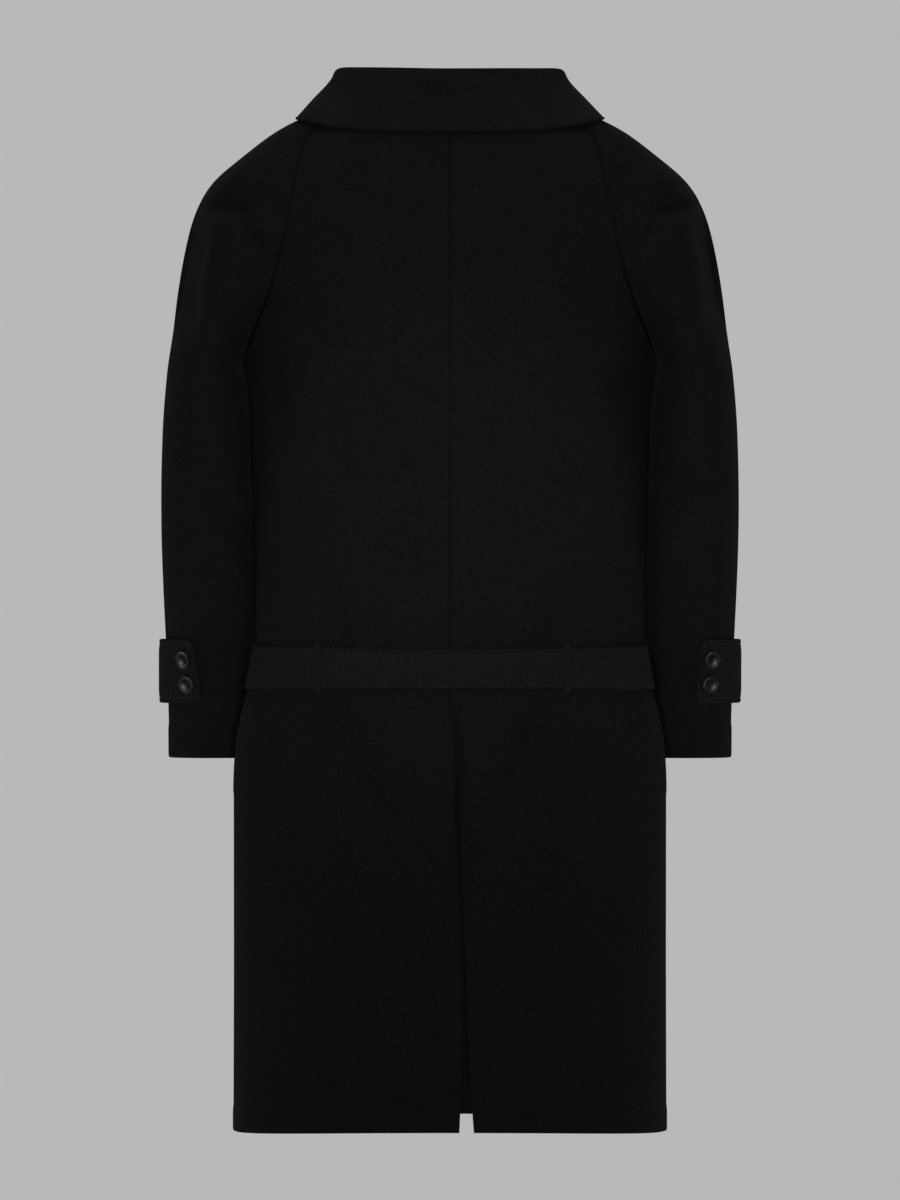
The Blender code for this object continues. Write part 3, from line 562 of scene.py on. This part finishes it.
# belt, loops and cuff straps: topstitched strips, the stitching sunk in a groove inside the edge
strips = {
    "belt": {"thickness": 4.0, "stitched": True, "flat": (0.049, 1.28),
             "sewnTo": ["back_left", "back_right", "front_left", "front_right"]},
    "belt_loop_left": {"thickness": 1.1, "stitched": False, "flat": (0.0105, 0.061),
                       "sewnTo": ["back_left"]},
    "belt_loop_right": {"thickness": 1.1, "stitched": False, "flat": (0.0105, 0.061),
                        "sewnTo": ["back_right"]},
    "cuff_strap_left": {"thickness": 3.0, "stitched": True, "corners": "round", "flat": (0.072, 0.265),
                        "sewnTo": ["sleeve_back_left", "sleeve_front_left"]},
    "cuff_strap_right": {"thickness": 3.0, "stitched": True, "corners": "round", "flat": (0.072, 0.265),
                         "sewnTo": ["sleeve_back_right", "sleeve_front_right"]},
}
stripEdge = {"levels": 2, "held": "stretched", "plainInsets": (1.0,), "rollDepth": 0.7, "rollWidth": 1.5,
             "rounding": 1.0, "roundingShare": 0.3}
stitching = {
    "insets": (1.2, 3.0, 0.9, 0.9, 3.0), "lineAfter": 2, "fromEdge": 5.1, "grooveWidth": 1.1,
    "grooveDepth": 0.75, "padHeight": 0.5, "padFrom": 6, "padFull": 14,
    "pitch": 4.0, "length": 3.3, "radius": 0.42, "sides": 6, "rings": 5,
}


def makeStitch():
    # one thread stitch, long in x, its ends dipping into the cloth
    bpy.ops.object.select_all(action="DESELECT")
    bpy.ops.mesh.primitive_uv_sphere_add(segments=stitching["sides"], ring_count=stitching["rings"],
                                         radius=mm)
    stitch = bpy.context.object
    bpy.ops.object.mode_set(mode="EDIT")
    bpy.ops.mesh.select_all(action="SELECT")
    bpy.ops.transform.resize(value=(stitching["length"] / 2, stitching["radius"], stitching["radius"]))
    bpy.ops.object.mode_set(mode="OBJECT")
    return stitch


def surfaceOf(piece):
    mesh = piece.data
    return BVHTree.FromPolygons([v.co for v in mesh.vertices], [tuple(p.vertices) for p in mesh.polygons])


def sewLines(name, lines, tree, master, pitch, crosswise=False):
    # copies of one stitch along the lines, laid on the cloth
    places = []
    for points in lines:
        carried = 0.0
        for a, b in zip(points, points[1:]):
            length = (b - a).length
            while carried < length:
                places.append((a.lerp(b, carried / length), (b - a).normalized()))
                carried += pitch * mm
            carried -= length
    spots, faces = [], []
    shape = [v.co.copy() for v in master.data.vertices]
    loops = [tuple(p.vertices) for p in master.data.polygons]
    for place, along in places:
        spot, normal, _, _ = tree.find_nearest(place)
        across = normal.cross(along).normalized()
        if crosswise:
            across = across.cross(normal)
        turned = Matrix((across.cross(normal), across, normal)).transposed()
        first = len(spots)
        spots += [spot + turned @ corner for corner in shape]
        faces += [tuple(first + k for k in loop) for loop in loops]
    mesh = bpy.data.meshes.new(name)
    mesh.from_pydata(spots, [], faces)
    piece = bpy.data.objects.new(name, mesh)
    scene.collection.objects.link(piece)
    activate(piece)
    bpy.ops.object.shade_smooth()
    mesh.materials.append(thread)
    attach(piece, "root")


def makeStrip(name, plan, master):
    insets = stitching["insets"] if plan["stitched"] else stripEdge["plainInsets"]
    lineAfter = stitching["lineAfter"] if plan["stitched"] else None
    piece, line = clothSheet(name, plan["thickness"], insets, stripEdge["levels"], lineAfter,
                             plan.get("corners", "sharp"))
    mesh = piece.data
    spots = vertexArray(mesh)
    normals = vertexArray(mesh, "normal")
    edge = edgeDistances(mesh, lambda p: True) / mm
    height = rolledEdge(edge, stripEdge["rollDepth"], stripEdge["rollWidth"])
    if plan["stitched"]:
        height += rolledEdge(edge - stitching["fromEdge"], stitching["grooveDepth"], stitching["grooveWidth"])
        height += stitching["padHeight"] * softStep(edge, stitching["padFrom"], stitching["padFull"])
    spots += normals * height[:, None] * mm
    mesh.vertices.foreach_set("co", spots.ravel())
    mesh.update()
    area = sum(polygon.area for polygon in mesh.polygons)
    rounding = min(stripEdge["rounding"], plan["thickness"] * stripEdge["roundingShare"])
    # the strips take the paler copy of the wool, painted light
    finishCloth(piece, plan["thickness"], rounding, paintedPalerWool)
    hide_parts(name)
    cloths[name] = (piece, area)
    if line:
        sewLines(name + "_stitching", [line + line[:1]], surfaceOf(piece), master, stitching["pitch"])
    print("strip", name, len(piece.data.polygons), "faces,", round(area, 4), "square metres")


stitchMaster = makeStitch()
for stripName, stripPlan in strips.items():
    makeStrip(stripName, stripPlan, stitchMaster)


# buttonholes: two rows of close stitches with no slit cut between them, from under each button away from the
# free edge
buttonholes = {
    "cuff_strap_left": {"buttons": "cuff_button_%s_left", "rows": ("upper", "lower"), "heading": -1,
                        "length": 20},
    "cuff_strap_right": {"buttons": "cuff_button_%s_right", "rows": ("upper", "lower"), "heading": 1,
                         "length": 20},
    "front_left": {"buttons": "front_button_%s_right", "rows": ("top", "middle", "low"), "heading": -1,
                   "length": 26},
}
holeStitch = {"pitch": 0.8, "apart": 1.5, "size": 0.55, "step": 0.5}


def walkLevel(tree, start, heading, length):
    # points along the cloth at one height, a short step apart
    points = [tree.find_nearest(start)[0]]
    while len(points) < length / holeStitch["step"]:
        normal = tree.find_nearest(points[-1])[1]
        along = Vector((0, 0, 1)).cross(normal).normalized()
        along *= math.copysign(1, along.dot(heading))
        points.append(tree.find_nearest(points[-1] + along * holeStitch["step"] * mm)[0])
        heading = along
    return points


def makeButtonholes(name, plan, master):
    tree = surfaceOf(cloths[name][0])
    lines = []
    for row in plan["rows"]:
        centre = Vector(vertexArray(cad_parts[plan["buttons"] % row].data).mean(axis=0))
        for shift in (-holeStitch["apart"] / 2, holeStitch["apart"] / 2):
            start = centre + Vector((0, 0, shift * mm))
            lines.append(walkLevel(tree, start, Vector((plan["heading"], 0, 0)), plan["length"]))
    sewLines(name + "_buttonholes", lines, tree, master, holeStitch["pitch"], crosswise=True)


activate(stitchMaster)
stitchMaster.scale = (holeStitch["size"],) * 3
bpy.ops.object.transform_apply(location=False, rotation=False, scale=True)
for clothName, holePlan in buttonholes.items():
    makeButtonholes(clothName, holePlan, stitchMaster)
bpy.data.objects.remove(stitchMaster)
print("buttonholes ready")


# buttons: a turned profile as radius share and height in mm, from the back edge over the rim to the dome
buttonPlan = {
    "profile": [(0.55, 0.0), (0.90, 0.5), (0.985, 1.2), (1.0, 1.9), (0.975, 2.6), (0.92, 3.05), (0.86, 3.0),
                (0.81, 2.65), (0.77, 2.62), (0.73, 2.95), (0.69, 3.1), (0.65, 2.95), (0.61, 3.02),
                (0.55, 3.5), (0.40, 3.98), (0.22, 4.28)],
    "domeTop": 4.4, "sides": 40, "smoothTurn": math.radians(60),
    "sleeveMiddle": (0.266, 0.06),      # x and y inside the cuff, which its buttons face away from
}


def makeButton(node):
    spots = vertexArray(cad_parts[node].data)
    centre = spots.mean(axis=0)
    axis = np.linalg.eigh(np.cov((spots - centre).T))[1][:, 0]
    middleX, middleY = buttonPlan["sleeveMiddle"] if node.startswith("cuff") else (0, 0)
    inside = np.array([math.copysign(middleX, centre[0]), middleY, centre[2]])
    axis *= math.copysign(1, axis @ (centre - inside))
    heights = (spots - centre) @ axis
    half = np.linalg.norm(spots - centre - heights[:, None] * axis, axis=1).max()
    back = Vector(centre + axis * heights.min())
    bpy.ops.object.select_all(action="DESELECT")
    share, height = buttonPlan["profile"][0]
    bpy.ops.mesh.primitive_circle_add(vertices=buttonPlan["sides"], radius=share * half, fill_type="NGON")
    piece = bpy.context.object
    piece.name = node + "_turned"
    bpy.ops.object.mode_set(mode="EDIT")
    bpy.ops.mesh.select_all(action="SELECT")
    for nextShare, nextHeight in buttonPlan["profile"][1:]:
        rise = (0, 0, (nextHeight - height) * mm)
        bpy.ops.mesh.extrude_region_move(TRANSFORM_OT_translate={"value": rise})
        grow = nextShare / share
        bpy.ops.transform.resize(value=(grow, grow, 1))
        share, height = nextShare, nextHeight
    rise = (0, 0, (buttonPlan["domeTop"] - height) * mm)
    bpy.ops.mesh.extrude_region_move(TRANSFORM_OT_translate={"value": rise})
    bpy.ops.mesh.merge(type="CENTER")
    bpy.ops.mesh.select_all(action="DESELECT")
    bpy.ops.mesh.select_mode(type="EDGE")
    bpy.ops.mesh.select_non_manifold()
    bpy.ops.mesh.edge_face_add()
    bpy.ops.mesh.select_all(action="SELECT")
    bpy.ops.mesh.normals_make_consistent(inside=False)
    bpy.ops.mesh.select_mode(type="VERT")
    bpy.ops.object.mode_set(mode="OBJECT")
    turn = Vector(axis).to_track_quat("Z", "Y").to_matrix().to_4x4()
    piece.data.transform(Matrix.Translation(back) @ turn)
    activate(piece)
    bpy.ops.object.shade_smooth_by_angle(angle=buttonPlan["smoothTurn"])
    piece.data.materials.append(metal)
    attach(piece, "root")
    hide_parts(node)


buttonNodes = [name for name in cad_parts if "button" in name]
for buttonNode in buttonNodes:
    makeButton(buttonNode)
print("buttons", len(buttonNodes))


# buckle: the CAD frame with its edges rounded
bucklePlan = {
    "rounding": 0.9, "segments": 3, "flatTurn": math.radians(2), "roundTurn": math.radians(40),
    "smoothTurn": math.radians(50),
}


def makeBuckle():
    piece = mergedCopy("buckle", "_frame")
    bpy.ops.mesh.dissolve_limited(angle_limit=bucklePlan["flatTurn"])
    bpy.ops.object.mode_set(mode="OBJECT")
    applyModifier(piece, "BEVEL", width=bucklePlan["rounding"] * mm, segments=bucklePlan["segments"],
                  limit_method="ANGLE", angle_limit=bucklePlan["roundTurn"])
    activate(piece)
    bpy.ops.object.shade_smooth_by_angle(angle=bucklePlan["smoothTurn"])
    piece.data.materials.append(metal)
    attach(piece, "root")
    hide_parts("buckle")


makeBuckle()


# floor, light and camera
studio = {
    "floorZ": -1.52, "floorRadius": 2.2, "floorSides": 96, "floorColour": "#c4c4c4",
    "background": "#b9b9b9", "fill": "#7c7c7c",
}
lamps = {
    "key_light": {"kind": "SPOT", "place": (0, -4.0, -0.2), "aim": (0, 0, -0.52), "size": 0.3,
                  "angle": 38, "power": 400},
    "left_sleeve_light": {"kind": "SPOT", "place": (0.75, -3.9, -0.2), "aim": (-0.27, 0, -0.41), "size": 0.2,
                          "angle": 13.5, "power": 268},
    "right_sleeve_light": {"kind": "SPOT", "place": (-0.75, -3.9, -0.2), "aim": (0.27, 0, -0.41), "size": 0.2,
                           "angle": 13.5, "power": 268},
    "left_light": {"kind": "AREA", "place": (-1.35, 0.15, -1.25), "aim": (-0.3, 0, -0.55), "size": 0.5,
                   "power": 6.0},
    "right_light": {"kind": "AREA", "place": (1.35, 0.15, -1.25), "aim": (0.3, 0, -0.55), "size": 0.5,
                    "power": 6.0},
    "floor_light": {"kind": "AREA", "place": (0, -1.1, -1.45), "aim": (0, 0, -1.1), "size": 0.9,
                    "power": 1.6},
    "top_light": {"kind": "AREA", "place": (0, -0.2, 1.6), "aim": (0, 0, 0), "size": 1.6, "power": 24},
}

bpy.ops.object.select_all(action="DESELECT")
bpy.ops.mesh.primitive_circle_add(vertices=studio["floorSides"], radius=studio["floorRadius"],
                                  fill_type="NGON", location=(0, 0, studio["floorZ"]))
floor = bpy.context.object
floor.name = "studio_floor"
floorPaint, _, floorShader = newMaterial("matt_floor_paint")
floorShader.inputs["Base Color"].default_value = hexColour(studio["floorColour"])
floorShader.inputs["Roughness"].default_value = 0.8
floor.data.materials.append(floorPaint)

# the backdrop is lit on its own: the camera sees it pale, but it throws little light on the cloth
world = bpy.data.worlds.new("studio_backdrop")
world.use_nodes = True
worldTree = world.node_tree
fill = worldTree.nodes["Background"]
fill.inputs["Color"].default_value = hexColour(studio["fill"])
backdrop = addNode(worldTree, "ShaderNodeBackground", {"Color": hexColour(studio["background"])})
seen = addNode(worldTree, "ShaderNodeLightPath").outputs["Is Camera Ray"]
choice = addNode(worldTree, "ShaderNodeMixShader", None,
                 {0: seen, 1: fill.outputs[0], 2: backdrop.outputs[0]})
worldTree.links.new(choice.outputs[0], worldTree.nodes["World Output"].inputs["Surface"])
scene.world = world
scene.view_settings.view_transform = "Standard"

for lampName, lampPlan in lamps.items():
    lamp = bpy.data.objects.new(lampName, bpy.data.lights.new(lampName, lampPlan["kind"]))
    if lampPlan["kind"] == "SPOT":
        lamp.data.spot_size = math.radians(lampPlan["angle"])
        lamp.data.spot_blend = 1.0
        lamp.data.shadow_soft_size = lampPlan["size"]
        lamp.visible_glossy = False     # the metal mirrors the area lights only
    else:
        lamp.data.size = lampPlan["size"]
    lamp.data.energy = lampPlan["power"]
    lamp.location = lampPlan["place"]
    aim = Vector(lampPlan["aim"]) - lamp.location
    lamp.rotation_euler = aim.to_track_quat("-Z", "Y").to_euler()
    lamp.visible_camera = False
    scene.collection.objects.link(lamp)

cameraPlan = {"distance": 7.5, "height": -0.515, "frameHeight": 1.32, "sensor": 36}
camera = bpy.data.objects.new("camera", bpy.data.cameras.new("camera"))
camera.data.sensor_width = cameraPlan["sensor"]
camera.data.lens = cameraPlan["sensor"] * cameraPlan["distance"] / cameraPlan["frameHeight"]
camera.location = (0, -cameraPlan["distance"], cameraPlan["height"])
camera.rotation_euler = (math.radians(90), 0, 0)
scene.collection.objects.link(camera)
scene.camera = camera
print("studio ready")
